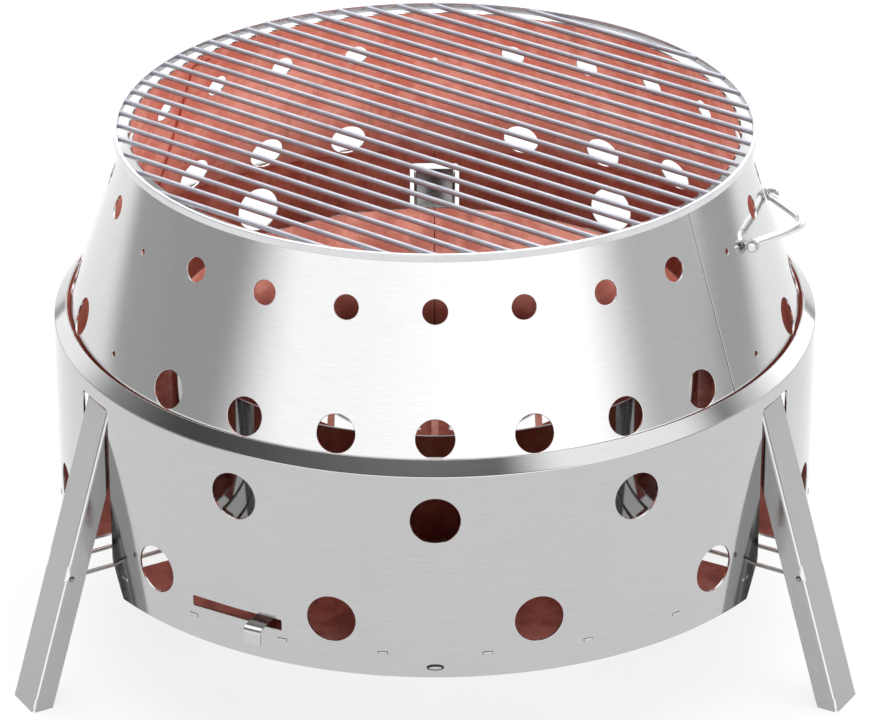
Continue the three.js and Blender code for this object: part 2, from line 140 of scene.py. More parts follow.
ring_low, ring_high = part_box("outer_ring")
AXIS = np.array([(ring_low.x + ring_high.x) / 2, (ring_low.y + ring_high.y) / 2, ring_low.z])

# ---------- shells: vertices, faces, corner normals, face materials and flat coordinates ----------


def unit(vectors):
    """Rows scaled to length 1."""
    vectors = np.asarray(vectors, float)
    length = np.linalg.norm(vectors, axis=-1, keepdims=True)
    return vectors / np.maximum(length, 1e-12)


def turn_matrix(azimuth):
    """Turns what is made at the front about the axis, to an azimuth in degrees."""
    a = math.radians(azimuth)
    return np.array([[math.cos(a), -math.sin(a), 0], [math.sin(a), math.cos(a), 0], [0, 0, 1]])


def in_plan(points, azimuth):
    """Points given at the front as (across, out), turned to an azimuth and read from above."""
    turn = turn_matrix(azimuth)[:2, :2]
    return [tuple(turn @ (across, -out)) for across, out in points]


class Profile:
    """A bent line: straight runs joined by arcs, read by the length along it. Its face is on the right."""

    def __init__(self, points, radii, arc_step=11.0):
        points = np.asarray(points, float)
        line, heading = [points[0]], [self.angle(points[1] - points[0])]
        for i in range(1, len(points) - 1):
            before = self.angle(points[i] - points[i - 1])
            after = self.angle(points[i + 1] - points[i])
            turn = (after - before + math.pi) % (2 * math.pi) - math.pi
            radius = radii if np.isscalar(radii) else radii[i - 1]
            reach = radius * abs(math.tan(turn / 2))
            start = points[i] - reach * np.array([math.cos(before), math.sin(before)])
            side = math.copysign(1, turn)
            centre = start + radius * side * np.array([-math.sin(before), math.cos(before)])
            count = max(2, math.ceil(abs(math.degrees(turn)) / arc_step))
            for k in range(count + 1):
                angle = before + turn * k / count
                line.append(centre - radius * side * np.array([-math.sin(angle), math.cos(angle)]))
                heading.append(angle)
        line.append(points[-1])
        heading.append(self.angle(points[-1] - points[-2]))
        self.points = np.array(line)
        self.heading = np.unwrap(heading)
        steps = np.linalg.norm(np.diff(self.points, axis=0), axis=1)
        self.length_at = np.concatenate([[0], np.cumsum(np.maximum(steps, 1e-9))])
        self.length = self.length_at[-1]

    @staticmethod
    def angle(step):
        return math.atan2(step[1], step[0])

    def at(self, s):
        """Points and right-hand normals at lengths s; beyond an end the line runs straight on."""
        s = np.asarray(s, float)
        inside = np.clip(s, 0, self.length)
        first = np.interp(inside, self.length_at, self.points[:, 0])
        second = np.interp(inside, self.length_at, self.points[:, 1])
        heading = np.interp(inside, self.length_at, self.heading)
        past = s - inside
        point = np.column_stack([first + past * np.cos(heading), second + past * np.sin(heading)])
        return point, np.column_stack([np.sin(heading), -np.cos(heading)])

    def stations(self, step):
        """Lengths that follow the arcs and cut long runs into steps."""
        found = []
        for a, b in zip(self.length_at[:-1], self.length_at[1:]):
            count = max(1, math.ceil((b - a) / step))
            found.extend(a + (b - a) * k / count for k in range(count))
        found.append(self.length)
        return np.array(sorted(set(np.round(found, 6))))


def turned_surface(profile, flat_radius):
    """A surface of revolution: u is azimuth times flat_radius, v is the length along the profile."""

    def surface(u, v):
        azimuth = np.asarray(u) / flat_radius
        point, normal = profile.at(v)
        out = np.column_stack([np.sin(azimuth), -np.cos(azimuth)])
        place = np.column_stack([out * point[:, :1], point[:, 1]])
        return place, np.column_stack([out * normal[:, :1], normal[:, 1]])

    return surface


def strip_surface(profile):
    """A strip across the front: u is the place across it, v the length along the profile (out, height)."""

    def surface(u, v):
        point, normal = profile.at(v)
        place = np.column_stack([u, -point[:, 0], point[:, 1]])
        return place, np.column_stack([np.zeros(len(point)), -normal[:, 0], normal[:, 1]])

    return surface


def flat_surface(height, facing=1):
    """A level surface that faces up, or down for a facing of -1, with u then running towards -X."""

    def surface(u, v):
        place = np.column_stack([facing * np.asarray(u), v, np.full(len(u), height)])
        return place, np.tile([0.0, 0.0, float(facing)], (len(u), 1))

    return surface


def lug_surface(x):
    """An upright surface across the hinge line that faces -X: u is the distance out, v the height."""

    def surface(u, v):
        place = np.column_stack([np.full(len(u), x), -np.asarray(u), v])
        return place, np.tile([-1.0, 0.0, 0.0], (len(u), 1))

    return surface


def leg_surface(section):
    """A channel on the leg's line: u is the length along the section, v the length along the leg."""
    tilt = math.radians(LEG_TILT)
    inward = np.array([0, math.cos(tilt), -math.sin(tilt)])
    along = np.array([0, math.sin(tilt), math.cos(tilt)])
    base = np.array([0, -FOOT_RADIUS, FLOOR])

    def surface(u, v):
        point, normal = section.at(u)
        across = np.array([1.0, 0, 0])
        place = base + point[:, :1] * across + point[:, 1:] * inward + np.asarray(v)[:, None] * along
        return place, normal[:, :1] * across + normal[:, 1:] * inward

    return surface


def circle(u, v, diameter, stretch=1.0, count=44):
    """A hole's loop, clockwise on the flat sheet."""
    angles = -2 * math.pi * np.arange(count) / count
    return [(u + stretch * diameter / 2 * math.cos(a), v + diameter / 2 * math.sin(a)) for a in angles]


def rectangle(left, right, bottom, top, corner=0.4):
    """A rectangular hole's loop, clockwise, with small round corners."""
    return rounded([(left, bottom), (left, top), (right, top), (right, bottom)], corner)


def rounded(loop, radius, steps=5):
    """A loop of straight runs with its corners rounded. radius is one number or one for each corner."""
    points = np.asarray(loop, float)
    found = []
    for i, corner in enumerate(points):
        size = radius if np.isscalar(radius) else radius[i]
        if size <= 0:
            found.append(tuple(corner))
            continue
        before = unit(points[i - 1] - corner)
        after = unit(points[(i + 1) % len(points)] - corner)
        half = math.acos(max(-1, min(1, float(before @ after)))) / 2
        reach = size / math.tan(half)
        centre = corner + unit(before + after) * size / math.sin(half)
        start = corner + before * reach - centre
        end = corner + after * reach - centre
        turn = math.atan2(start[0] * end[1] - start[1] * end[0], float(start @ end))
        for k in range(steps + 1):
            c, s = math.cos(turn * k / steps), math.sin(turn * k / steps)
            spoke = np.array([c * start[0] - s * start[1], s * start[0] + c * start[1]])
            found.append(tuple(centre + spoke))
    return found


def divided(loop, step):
    """A loop with its long runs cut at whole multiples of step, the same for every run along one line."""
    found = []
    for a, b in zip(loop, list(loop[1:]) + [loop[0]]):
        a, b = np.asarray(a, float), np.asarray(b, float)
        found.append(tuple(a))
        axis = int(abs(b[1] - a[1]) > abs(b[0] - a[0]))
        span = abs(b[axis] - a[axis])
        if span <= step:
            continue
        low, high = sorted((a[axis], b[axis]))
        marks = np.arange(math.ceil(low / step), math.floor(high / step) + 1) * step
        marks = marks[(marks > low + 0.3 * step) & (marks < high - 0.3 * step)]
        shares = sorted(abs(m - a[axis]) / span for m in marks)
        found.extend(tuple(a + (b - a) * share) for share in shares)
    return found


def enclosed(points, loops):
    """Which points lie on the material: inside the border and outside every hole."""
    crossings = np.zeros(len(points), int)
    x, y = points[:, 0], points[:, 1]
    for loop in loops:
        a = np.asarray(loop, float)
        b = np.roll(a, -1, 0)
        for (ax, ay), (bx, by) in zip(a, b):
            if ay == by:
                continue
            spans = (y >= min(ay, by)) & (y < max(ay, by))
            crossings[spans] += x[spans] < ax + (y[spans] - ay) * (bx - ax) / (by - ay)
    return crossings % 2 == 1


def away_from_material(loop):
    """Directions on the flat sheet that point off the material at each point of a loop."""
    points = np.asarray(loop, float)
    before = unit(points - np.roll(points, 1, 0))
    after = unit(np.roll(points, -1, 0) - points)
    right = lambda e: np.column_stack([e[:, 1], -e[:, 0]])
    middle = unit(right(before) + right(after))
    mitre = 1 / np.maximum(0.5, np.sum(middle * right(before), axis=1, keepdims=True))
    return middle, middle * mitre


def sheet(surface, border, holes, thickness, us, vs, chamfer=0.3, clear=1.4, inner=0, level=None):
    """A shell of sheet metal with eased edges. border runs anticlockwise on the flat sheet and holes
    clockwise. us and vs are the grid lines. inner is the material of the back face. level, if given,
    is (lowest, highest) height: the ends are cut level there."""
    loops = [np.asarray(loop, float) for loop in [border, *holes]]
    outward = [away_from_material(loop) for loop in loops]
    inset = [loop - chamfer * out[1] for loop, out in zip(loops, outward)]
    rim = np.concatenate(inset)
    grid = np.array([(u, v) for v in vs for u in us], float)
    grid = grid[enclosed(grid, inset)]
    gap = np.full(len(grid), np.inf)
    for start in range(0, len(rim), 400):
        part = rim[start : start + 400]
        apart = np.linalg.norm(grid[:, None, :] - part[None, :, :], axis=2).min(axis=1)
        gap = np.minimum(gap, apart)
    grid = grid[gap > clear]
    flat = np.concatenate([rim, grid])
    edges, first = [], 0
    for loop in inset:
        count = len(loop)
        edges.extend((first + i, first + (i + 1) % count) for i in range(count))
        first += count
    found = delaunay_2d_cdt([Vector(p) for p in flat], edges, [], 0, 1e-7, True)
    flat = np.array([tuple(v) for v in found[0]])
    place_of = {}
    for new, olds in enumerate(found[3]):
        for old in olds:
            place_of[old] = new
    triangles = np.array(found[2])
    triangles = triangles[enclosed(flat[triangles].mean(axis=1), inset)]
    first_corner, second_corner, third_corner = (flat[triangles[:, i]] for i in range(3))
    turn = np.cross(second_corner - first_corner, third_corner - first_corner)
    triangles[turn < 0] = triangles[turn < 0][:, ::-1]
    triangles = triangles[np.abs(turn) > 1e-9]

    top, normal = surface(flat[:, 0], flat[:, 1])
    count = len(flat)
    places = [top, top - thickness * normal]
    coordinates = [flat, flat]
    faces = [tuple(t) for t in triangles] + [tuple(t[::-1] + count) for t in triangles]
    corner_normals = [normal[triangles].reshape(-1, 3), -normal[triangles[:, ::-1]].reshape(-1, 3)]
    slots = [0] * len(triangles) + [inner] * len(triangles)
    used, first = 2 * count, 0
    for loop, (middle, _) in zip(loops, outward):
        size = len(loop)
        rim_ids = np.array([place_of[first + i] for i in range(size)])
        first += size
        edge, edge_normal = surface(loop[:, 0], loop[:, 1])
        ahead = surface(loop[:, 0] + 0.01 * middle[:, 0], loop[:, 1] + 0.01 * middle[:, 1])[0]
        off = unit(ahead - edge)
        places += [edge - chamfer * edge_normal, edge - (thickness - chamfer) * edge_normal]
        coordinates += [loop, loop]
        upper, lower = used + np.arange(size), used + size + np.arange(size)
        used += 2 * size
        face_normal = normal[rim_ids]
        rows = [(rim_ids, face_normal, upper, off), (upper, off, lower, off),
                (lower, off, rim_ids + count, -face_normal)]
        for a, a_normal, b, b_normal in rows:
            after = np.roll(np.arange(size), -1)
            faces += [tuple(q) for q in np.column_stack([a, b, b[after], a[after]])]
            quad = np.stack([a_normal, b_normal, b_normal[after], a_normal[after]], axis=1)
            corner_normals.append(quad.reshape(-1, 3))
            slots += [0] * size
    places = np.concatenate(places)
    if level:
        places[:, 2] = np.clip(places[:, 2], *level)
    return places, faces, np.concatenate(corner_normals), slots, np.concatenate(coordinates)


def turned(outline, segments, smooth=50):
    """A shell of revolution about the axis from a closed outline of (radius, height), clockwise in the
    half plane. Corners sharper than smooth, in degrees, stay sharp."""
    sharp = math.cos(math.radians(smooth))
    shared = lambda one, other: one if one @ other < sharp else unit(one + other)
    outline = np.asarray(outline, float)
    count = len(outline)
    step = np.roll(outline, -1, 0) - outline
    side = unit(np.column_stack([-step[:, 1], step[:, 0]]))
    angles = 2 * math.pi * np.arange(segments) / segments
    out = np.column_stack([np.sin(angles), -np.cos(angles)])
    places = np.concatenate([np.column_stack([out * r, np.full(segments, z)]) for r, z in outline])
    flat = np.concatenate([
        np.column_stack([angles * GRATE_RADIUS, np.full(segments, z + r)]) for r, z in outline])
    faces, normals = [], []
    after = np.roll(np.arange(segments), -1)
    for i in range(count):
        j = (i + 1) % count
        start = shared(side[i], side[i - 1])
        end = shared(side[i], side[j])
        a, b = i * segments + np.arange(segments), j * segments + np.arange(segments)
        faces += [tuple(q) for q in np.column_stack([a, b, b[after], a[after]])]
        first = np.column_stack([out * start[0], np.full(segments, start[1])])
        second = np.column_stack([out * end[0], np.full(segments, end[1])])
        normals.append(np.stack([first, second, second[after], first[after]], axis=1).reshape(-1, 3))
    return places, faces, np.concatenate(normals), [0] * len(faces), flat


def filleted(points, radii, steps=7):
    """A path in space with each corner bent to its radius."""
    points = np.asarray(points, float)
    path = [points[0]]
    for i in range(1, len(points) - 1):
        size = radii[i - 1]
        before, after = unit(points[i - 1] - points[i]), unit(points[i + 1] - points[i])
        half = math.acos(max(-1, min(1, float(before @ after)))) / 2
        reach = size / math.tan(half)
        centre = points[i] + unit(before + after) * size / math.sin(half)
        start, end = points[i] + before * reach - centre, points[i] + after * reach - centre
        whole = math.pi - 2 * half
        for k in range(steps + 1):
            share = k / steps
            a, b = math.sin((1 - share) * whole), math.sin(share * whole)
            path.append(centre + (a * start + b * end) / math.sin(whole))
    path.append(points[-1])
    return np.array(path)


def tube(path, radius, sides, ease, scale=None):
    """A round wire along a path, with eased flat ends. scale, if given, swells it at each point."""
    path = np.asarray(path, float)
    along = unit(np.gradient(path, axis=0))
    scale = np.ones(len(path)) if scale is None else np.asarray(scale, float)
    first, last = path[0], path[-1]
    path = np.vstack([first, first + along[0] * ease, path[1:-1], last - along[-1] * ease, last])
    along = np.vstack([along[0], along[0], along[1:-1], along[-1], along[-1]])
    scale = np.concatenate([[scale[0] * (1 - ease / radius), scale[0]], scale[1:-1],
                            [scale[-1], scale[-1] * (1 - ease / radius)]])
    seed = np.array([0, 0, 1.0]) if abs(along[0][2]) < 0.9 else np.array([1.0, 0, 0])
    across = unit(seed - along[0] * (seed @ along[0]))
    angles = 2 * math.pi * np.arange(sides) / sides
    places, outs, flat, run = [], [], [], 0.0
    for i, (p, t) in enumerate(zip(path, along)):
        across = unit(across - t * (across @ t))
        out = np.outer(np.cos(angles), across) + np.outer(np.sin(angles), np.cross(t, across))
        run += np.linalg.norm(p - path[i - 1]) if i else 0
        places.append(p + out * radius * scale[i])
        outs.append(out)
        flat.append(np.column_stack([np.full(sides, run), angles * radius]))
    outs[0] = unit(outs[0] - along[0])
    outs[-1] = unit(outs[-1] + along[-1])
    faces, normals = [], []
    after = np.roll(np.arange(sides), -1)
    for i in range(len(path) - 1):
        a, b = i * sides + np.arange(sides), (i + 1) * sides + np.arange(sides)
        faces += [tuple(q) for q in np.column_stack([a, a[after], b[after], b])]
        quad = np.stack([outs[i], outs[i][after], outs[i + 1][after], outs[i + 1]], axis=1)
        normals.append(quad.reshape(-1, 3))
    end = (len(path) - 1) * sides
    faces += [tuple(range(sides - 1, -1, -1)), tuple(range(end, end + sides))]
    normals += [np.tile(-along[0], (sides, 1)), np.tile(along[-1], (sides, 1))]
    return np.concatenate(places), faces, np.concatenate(normals), [0] * len(faces), np.concatenate(flat)


def piece(name, body, replaced, materials, shells, azimuth=0):
    """Joins shells into one object, turns it to its azimuth and puts it on its CAD body."""
    places, faces, normals, slots, flat = [], [], [], [], []
    used = 0
    for shell in shells:
        places.append(shell[0])
        faces += [tuple(int(i) + used for i in f) for f in shell[1]]
        normals.append(shell[2])
        slots += shell[3]
        flat.append(shell[4])
        used += len(shell[0])
    turn = turn_matrix(azimuth)
    places = np.concatenate(places) @ turn.T * MM + AXIS
    normals = np.concatenate(normals) @ turn.T
    flat = np.column_stack([np.concatenate(flat) * MM, np.zeros(used)])
    mesh = bpy.data.meshes.new(name)
    mesh.from_pydata(places.tolist(), [], faces)
    mesh.polygons.foreach_set("use_smooth", [True] * len(faces))
    mesh.polygons.foreach_set("material_index", slots)
    store = mesh.attributes.new("flat", "FLOAT_VECTOR", "POINT")
    store.data.foreach_set("vector", flat.astype(np.float32).ravel())
    for material in materials:
        mesh.materials.append(material)
    mesh.normals_split_custom_set(unit(normals).tolist())
    made = bpy.data.objects.new(name, mesh)
    bpy.context.scene.collection.objects.link(made)
    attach(made, body)
    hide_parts(*replaced)


# ---------- finishes ----------


class Nodes:
    """A node tree under construction: nodes are made by name and linked by passing sockets."""

    def __init__(self, tree):
        self.tree = tree

    def node(self, kind, settings=None, **inputs):
        node = self.tree.nodes.new(kind)
        for key, value in (settings or {}).items():
            setattr(node, key, value)
        for key, value in inputs.items():
            self.put(node.inputs[int(key[1:]) if key[1:].isdigit() else key.replace("_", " ")], value)
        return node

    def put(self, socket, value):
        if isinstance(value, bpy.types.NodeSocket):
            self.tree.links.new(value, socket)
        else:
            socket.default_value = value

    def flat(self, along, across):
        """The flat sheet's coordinates, scaled along and across it."""
        source = self.node("ShaderNodeAttribute", {"attribute_name": "flat"}).outputs["Vector"]
        return self.node("ShaderNodeMapping", Vector=source, Scale=(along, across, 1)).outputs[0]

    def place(self):
        return self.node("ShaderNodeTexCoord").outputs["Object"]

    def noise(self, vector, scale, detail=3.0, rough=0.5):
        node = self.node("ShaderNodeTexNoise", Vector=vector, Scale=scale, Detail=detail, Roughness=rough)
        return node.outputs["Fac"]

    def ramp(self, value, low, high, to_low=0.0, to_high=1.0):
        node = self.node("ShaderNodeMapRange", {"interpolation_type": "SMOOTHSTEP"}, i0=value, i1=low,
                         i2=high, i3=to_low, i4=to_high)
        return node.outputs[0]

    def mix(self, share, first, second):
        node = self.node("ShaderNodeMix", {"data_type": "RGBA"}, i0=share, i6=first, i7=second)
        return node.outputs[2]

    def math(self, kind, first, second=0.0):
        return self.node("ShaderNodeMath", {"operation": kind}, i0=first, i1=second).outputs[0]

    def bump(self, height, strength, distance, under=None):
        node = self.node("ShaderNodeBump", Height=height, Strength=strength, Distance=distance)
        if under is not None:
            self.put(node.inputs["Normal"], under)
        return node.outputs[0]


class Finish(Nodes):
    """A material under construction."""

    def __init__(self, name):
        self.material = bpy.data.materials.new(name)
        self.material.use_nodes = True
        super().__init__(self.material.node_tree)
        self.shader = self.tree.nodes["Principled BSDF"]


def grey(value, warm=0.0):
    return (value * (1 + warm), value, value * (1 - warm), 1.0)


def steel(name, tone, roughness, along=60.0, across=2600.0, ripple=0.25):
    """Stainless sheet: fine grain along the sheet, faint handling marks and the ripple of rolled metal."""
    f = Finish(name)
    grain = 0.10
    lines = f.noise(f.flat(along, across), 1.0, 4.0, 0.6)
    speckle = f.noise(f.place(), 1500.0, 2.0)
    marks = f.noise(f.place(), 26.0, 5.0, 0.65)
    waves = f.noise(f.place(), 7.0, 1.0)
    shade = f.ramp(lines, 0.3, 0.7)
    base = f.mix(shade, grey(tone * 0.955), grey(tone * 1.03))
    base = f.mix(f.ramp(marks, 0.52, 0.75, 0.0, 0.35), base, grey(tone * 0.93, 0.006))
    f.put(f.shader.inputs["Base Color"], base)
    f.shader.inputs["Metallic"].default_value = 1.0
    rough = f.math("ADD", f.ramp(marks, 0.35, 0.8, roughness * 0.9, roughness * 1.35),
                   f.ramp(speckle, 0.3, 0.7, -0.02, 0.03))
    f.put(f.shader.inputs["Roughness"], rough)
    normal = f.bump(waves, ripple, 0.0012)
    normal = f.bump(lines, grain, 0.00002, normal)
    f.put(f.shader.inputs["Normal"], f.bump(speckle, grain, 0.00002, normal))
    return f.material


def heat_tint_and_firelight(name, pale, deep, dark, roughness, metallic, darkening_heights=(0.0, 0.01)):
    """Stainless sheet coloured by the fire, partly heat tint and partly painted red firelight: straw to red
    brown in soft clouds, with sooty streaks.
    darkening_heights is the band of heights, in metres, over which it clears from darker below to its own
    colour above."""
    f = Finish(name)
    bright = tuple(min(1, 1.25 * c + 0.03) for c in pale)
    clouds = f.noise(f.place(), 9.0, 4.0, 0.6)
    streaks = f.noise(f.flat(90.0, 14.0), 1.0, 4.0, 0.6)
    specks = f.noise(f.place(), 420.0, 3.0, 0.7)
    blotches = f.noise(f.place(), 55.0, 4.0, 0.7)
    base = f.mix(f.ramp(clouds, 0.4, 0.6), deep, pale)
    base = f.mix(f.ramp(blotches, 0.45, 0.62, 0.0, 0.45), base, bright)
    base = f.mix(f.ramp(blotches, 0.38, 0.52, 0.5, 0.0), base, deep)
    base = f.mix(f.ramp(streaks, 0.55, 0.8, 0.0, 0.55), base, dark)
    base = f.mix(f.ramp(specks, 0.62, 0.75, 0.0, 0.5), base, dark)
    height = f.node("ShaderNodeSeparateXYZ", Vector=f.place()).outputs[2]
    # Darker towards the bottom, below a band of heights.
    edge = f.math("ADD", height, f.ramp(clouds, 0.3, 0.7, -0.012, 0.012))
    base = f.mix(f.ramp(edge, darkening_heights[0], darkening_heights[1], 0.85, 0.0), base, dark)
    f.put(f.shader.inputs["Base Color"], base)
    f.shader.inputs["Metallic"].default_value = metallic
    f.put(f.shader.inputs["Roughness"], f.ramp(clouds, 0.3, 0.7, roughness * 0.8, roughness * 1.3))
    f.put(f.shader.inputs["Normal"], f.bump(specks, 0.25, 0.0001, f.bump(clouds, 0.3, 0.001)))
    return f.material


def wire(name, base, roughness):
    """Drawn wire with fine lines along it and a trace of wear."""
    f = Finish(name)
    lines = f.noise(f.flat(40.0, 3500.0), 1.0, 3.0)
    wear = f.noise(f.place(), 60.0, 4.0, 0.6)
    shade = f.mix(f.ramp(wear, 0.45, 0.7, 0.0, 0.4), base, tuple(c * 0.8 for c in base[:3]) + (1.0,))
    f.put(f.shader.inputs["Base Color"], shade)
    f.shader.inputs["Metallic"].default_value = 1.0
    f.put(f.shader.inputs["Roughness"], f.ramp(wear, 0.3, 0.75, roughness * 0.85, roughness * 1.3))
    f.put(f.shader.inputs["Normal"], f.bump(lines, 0.12, 0.00003))
    return f.material


ring_steel = steel("ring_steel", 0.51, 0.08)
cone_steel = steel("cone_steel", 0.62, 0.10)
leg_steel = steel("leg_steel", 0.41, 0.14, along=2200.0, across=60.0, ripple=0.12)
# A near black steel for the painted shade round the stop lug.
lug_shade_rim = steel("lug_shade_rim", 0.05, 0.4, ripple=0.05)
# A much brighter steel for the painted highlight on the legs' folds.
fold_highlight_steel = steel("fold_highlight_steel", 0.86, 0.1, along=2200.0, across=60.0, ripple=0.05)
small_steel = steel("small_steel", 0.55, 0.2, ripple=0.1)
fire_wall = steel("fire_wall", 0.22, 0.05, ripple=0.5)
grate_wire = wire("grate_wire", (0.46, 0.46, 0.51, 1.0), 0.5)
bright_wire = wire("bright_wire", (0.74, 0.74, 0.73, 1.0), 0.12)
rim_steel = wire("rim_steel", (0.68, 0.68, 0.70, 1.0), 0.24)
strut_steel = wire("strut_steel", (0.30, 0.29, 0.28, 1.0), 0.25)
# The red of these inside finishes is partly heat tint and partly painted red firelight from the fire below.
inside_ring = heat_tint_and_firelight("inside_ring", pale=(0.82, 0.27, 0.19, 1), deep=(0.62, 0.15, 0.10, 1),
                    dark=(0.2, 0.045, 0.035, 1), roughness=0.4, metallic=0.3, darkening_heights=(0.06, 0.11))
inside_cone = heat_tint_and_firelight("inside_cone", pale=(0.84, 0.36, 0.28, 1), deep=(0.68, 0.2, 0.14, 1),
                    dark=(0.3, 0.12, 0.1, 1), roughness=0.42, metallic=0.15)
fire_inside = heat_tint_and_firelight("fire_inside", pale=(0.66, 0.30, 0.23, 1), deep=(0.46, 0.15, 0.11, 1),
                    dark=(0.1, 0.035, 0.03, 1), roughness=0.42, metallic=0.3, darkening_heights=(0.09, 0.16))
floor_plate = heat_tint_and_firelight("floor_plate", pale=(0.36, 0.13, 0.10, 1), deep=(0.2, 0.06, 0.045, 1),
                    dark=(0.07, 0.02, 0.016, 1), roughness=0.5, metallic=0.3)
sooty_bar = heat_tint_and_firelight("sooty_bar", pale=(0.42, 0.22, 0.18, 1), deep=(0.28, 0.14, 0.12, 1),
                  dark=(0.08, 0.05, 0.045, 1), roughness=0.55, metallic=0.4)

# ---------- outer ring ----------


def outer_ring():
    """The rolled ring: flange, vents, leg slots, lever slot and the slots of the base plate's tabs."""
    profile = Profile([(RING_RADIUS, 0), (RING_RADIUS, RING_HEIGHT),
                       (RING_RADIUS - FLANGE_INSET, RING_HEIGHT + FLANGE_RISE)], 1.8)
    step = 2 * math.pi * RING_RADIUS / 240
    end = math.pi * RING_RADIUS
    half, flare = LEG_SLOT_WIDTH / 2, LEG_SLOT_FLARE_WIDTH / 2
    slot = [(-flare, 0), (-half, LEG_SLOT_FLARE_TOP), (-half, LEG_SLOT_TOP),
            (half, LEG_SLOT_TOP), (half, LEG_SLOT_FLARE_TOP), (flare, 0)]
    bend = [1.5, 3, 2.5, 2.5, 3, 1.5]
    loop = [(u - end, v) for u, v in slot[3:]]
    radii = bend[3:]
    for azimuth in (LEG_AZIMUTHS["left"], LEG_AZIMUTHS["right"]):
        middle = math.radians(azimuth) * RING_RADIUS
        loop += [(u + middle, v) for u, v in slot]
        radii += bend
    loop += [(u + end, v) for u, v in slot[:3]]
    radii += bend[:3]
    loop += [(end, LEG_SLOT_TOP), (end, profile.length), (-end, profile.length), (-end, LEG_SLOT_TOP)]
    radii += [0, 0.3, 0.3, 0]
    border = divided(rounded(loop, radii), step)
    flat = lambda azimuth: math.radians(azimuth) * RING_RADIUS
    holes = [circle(flat(a), UPPER_HOLE_HEIGHT, RING_HOLE) for a in range(-150, 151, 30) if abs(a) != 60]
    holes += [circle(flat(a), LOWER_HOLE_HEIGHT, RING_HOLE) for a in range(-165, 166, 30)]
    first, last = LEVER_SLOT_AZIMUTHS
    holes.append(rectangle(flat(first), flat(last), *LEVER_SLOT_HEIGHTS, 0.8))
    half_tab = TAB_WIDTH / 2 + TAB_GAP
    bottom, top = PLATE_BOTTOM - 0.05, PLATE_TOP + 0.05
    for azimuth in TAB_AZIMUTHS:
        holes.append(rectangle(flat(azimuth) - half_tab, flat(azimuth) + half_tab, bottom, top, 0.2))
    us = np.arange(-120, 121) * step
    surface = turned_surface(profile, RING_RADIUS)
    shell = sheet(surface, border, holes, SHEET, us, profile.stations(7), inner=1)
    return [shell, *stop_lug()]


def stop_lug():
    """The little oval lug pressed out of the ring at the front, near its lower edge, on a larger dark oval
    that is painted shade around it.
    """
    shells = []
    # The first oval is the dark sheet of painted shade round the lug, the second the lug itself.
    for rise, width, height, slot in ((0.6, 9.4, 3.4, 2), (1.0, 7.2, 1.8, 0)):
        profile = Profile([(RING_RADIUS + rise, 0), (RING_RADIUS + rise, 10)], 1)
        oval = circle(0, STOP_LUG_HEIGHT, height, width / height, 36)[::-1]
        surface = turned_surface(profile, RING_RADIUS + rise)
        shell = sheet(surface, oval, [], 1.0, [-2.0, 0.0, 2.0], [STOP_LUG_HEIGHT], 0.2, 0.3)
        places, faces, normals, _, flat = shell
        shells.append((places, faces, normals, [slot] * len(faces), flat))
    return shells


piece("outer_ring_sheet", "grill_body", ["outer_ring"],
      [ring_steel, inside_ring, lug_shade_rim], outer_ring())

# ---------- cone ----------


def cone_half(first, last):
    """The part of the cone between two seam azimuths, less half the seam's gap at each."""
    high = CONE_RADIUS_AT_BOTTOM - CONE_SLOPE * (CONE_TOP - CONE_BOTTOM)
    profile = Profile([(CONE_RADIUS_AT_BOTTOM, CONE_BOTTOM), (high, CONE_TOP)], 1)
    per_height = profile.length / (CONE_TOP - CONE_BOTTOM)
    flat_radius = 190.0
    left = math.radians(first) * flat_radius + CONE_SEAM_GAP / 2
    right = math.radians(last) * flat_radius - CONE_SEAM_GAP / 2
    step = 2 * math.pi * flat_radius / 240
    loop = rounded([(left, 0), (right, 0), (right, profile.length), (left, profile.length)], 0.8)
    holes = []
    for azimuth in range(-180, 361, 15):
        if not first < azimuth < last:
            continue
        at_leg = any((azimuth - leg) % 360 == 0 for leg in LEG_AZIMUTHS.values())
        pins = [(height, CONE_PIN_HOLE, 16) for height in CONE_PIN_HOLES]
        round_holes = [(height, diameter, 44) for height, diameter in CONE_ROWS]
        for height, size, count in pins if at_leg else round_holes:
            radius = CONE_RADIUS_AT_BOTTOM - CONE_SLOPE * (height - CONE_BOTTOM)
            v = (height - CONE_BOTTOM) * per_height
            holes.append(circle(math.radians(azimuth) * flat_radius, v, size, flat_radius / radius, count))
    us = np.arange(math.ceil(left / step), math.floor(right / step) + 1) * step
    surface = turned_surface(profile, flat_radius)
    return [sheet(surface, divided(loop, step), holes, THIN_SHEET, us, profile.stations(7), inner=1)]


for side, first in (("left", CONE_SEAM_AZIMUTH - 180), ("right", CONE_SEAM_AZIMUTH)):
    piece(f"cone_{side}_sheet", "cone", [f"cone_half_{side}"], [cone_steel, inside_cone],
          cone_half(first, first + 180))

# ---------- grill grate ----------


def grill_grate():
    """The flat rim with its parallel wires, which swell a little at their welds."""
    inner, bottom, top = GRATE_RADIUS - GRATE_RIM_DEPTH, GRATE_TOP - GRATE_RIM_HEIGHT, GRATE_TOP + 0.1
    rim = rounded([(inner, bottom), (inner, top), (GRATE_RADIUS, top), (GRATE_RADIUS, bottom)], 0.55, 4)
    places, faces, normals, slots, flat = turned(rim, 220)
    shells = [(places, faces, normals, [1] * len(faces), flat)]
    height = GRATE_TOP - GRATE_WIRE / 2
    swell = [1.15, 1.1, 1, 1, 1, 1.1, 1.15]
    for i in range(-GRATE_WIRES_PER_SIDE, GRATE_WIRES_PER_SIDE + 1):
        y = i * GRATE_PITCH
        half = math.sqrt((inner + 0.8) ** 2 - y**2)
        marks = np.array([-half, 1.6 - half, 3.6 - half, 0, half - 3.6, half - 1.6, half])
        line = np.column_stack([marks, np.full(7, y), np.full(7, height)])
        shells.append(tube(line @ turn_matrix(GRATE_AZIMUTH).T, GRATE_WIRE / 2, 16, 0.3, swell))
    return shells


piece("grill_grate_wires", "grate", ["grill_grate"], [grate_wire, rim_steel], grill_grate())

# ---------- fire ring ----------


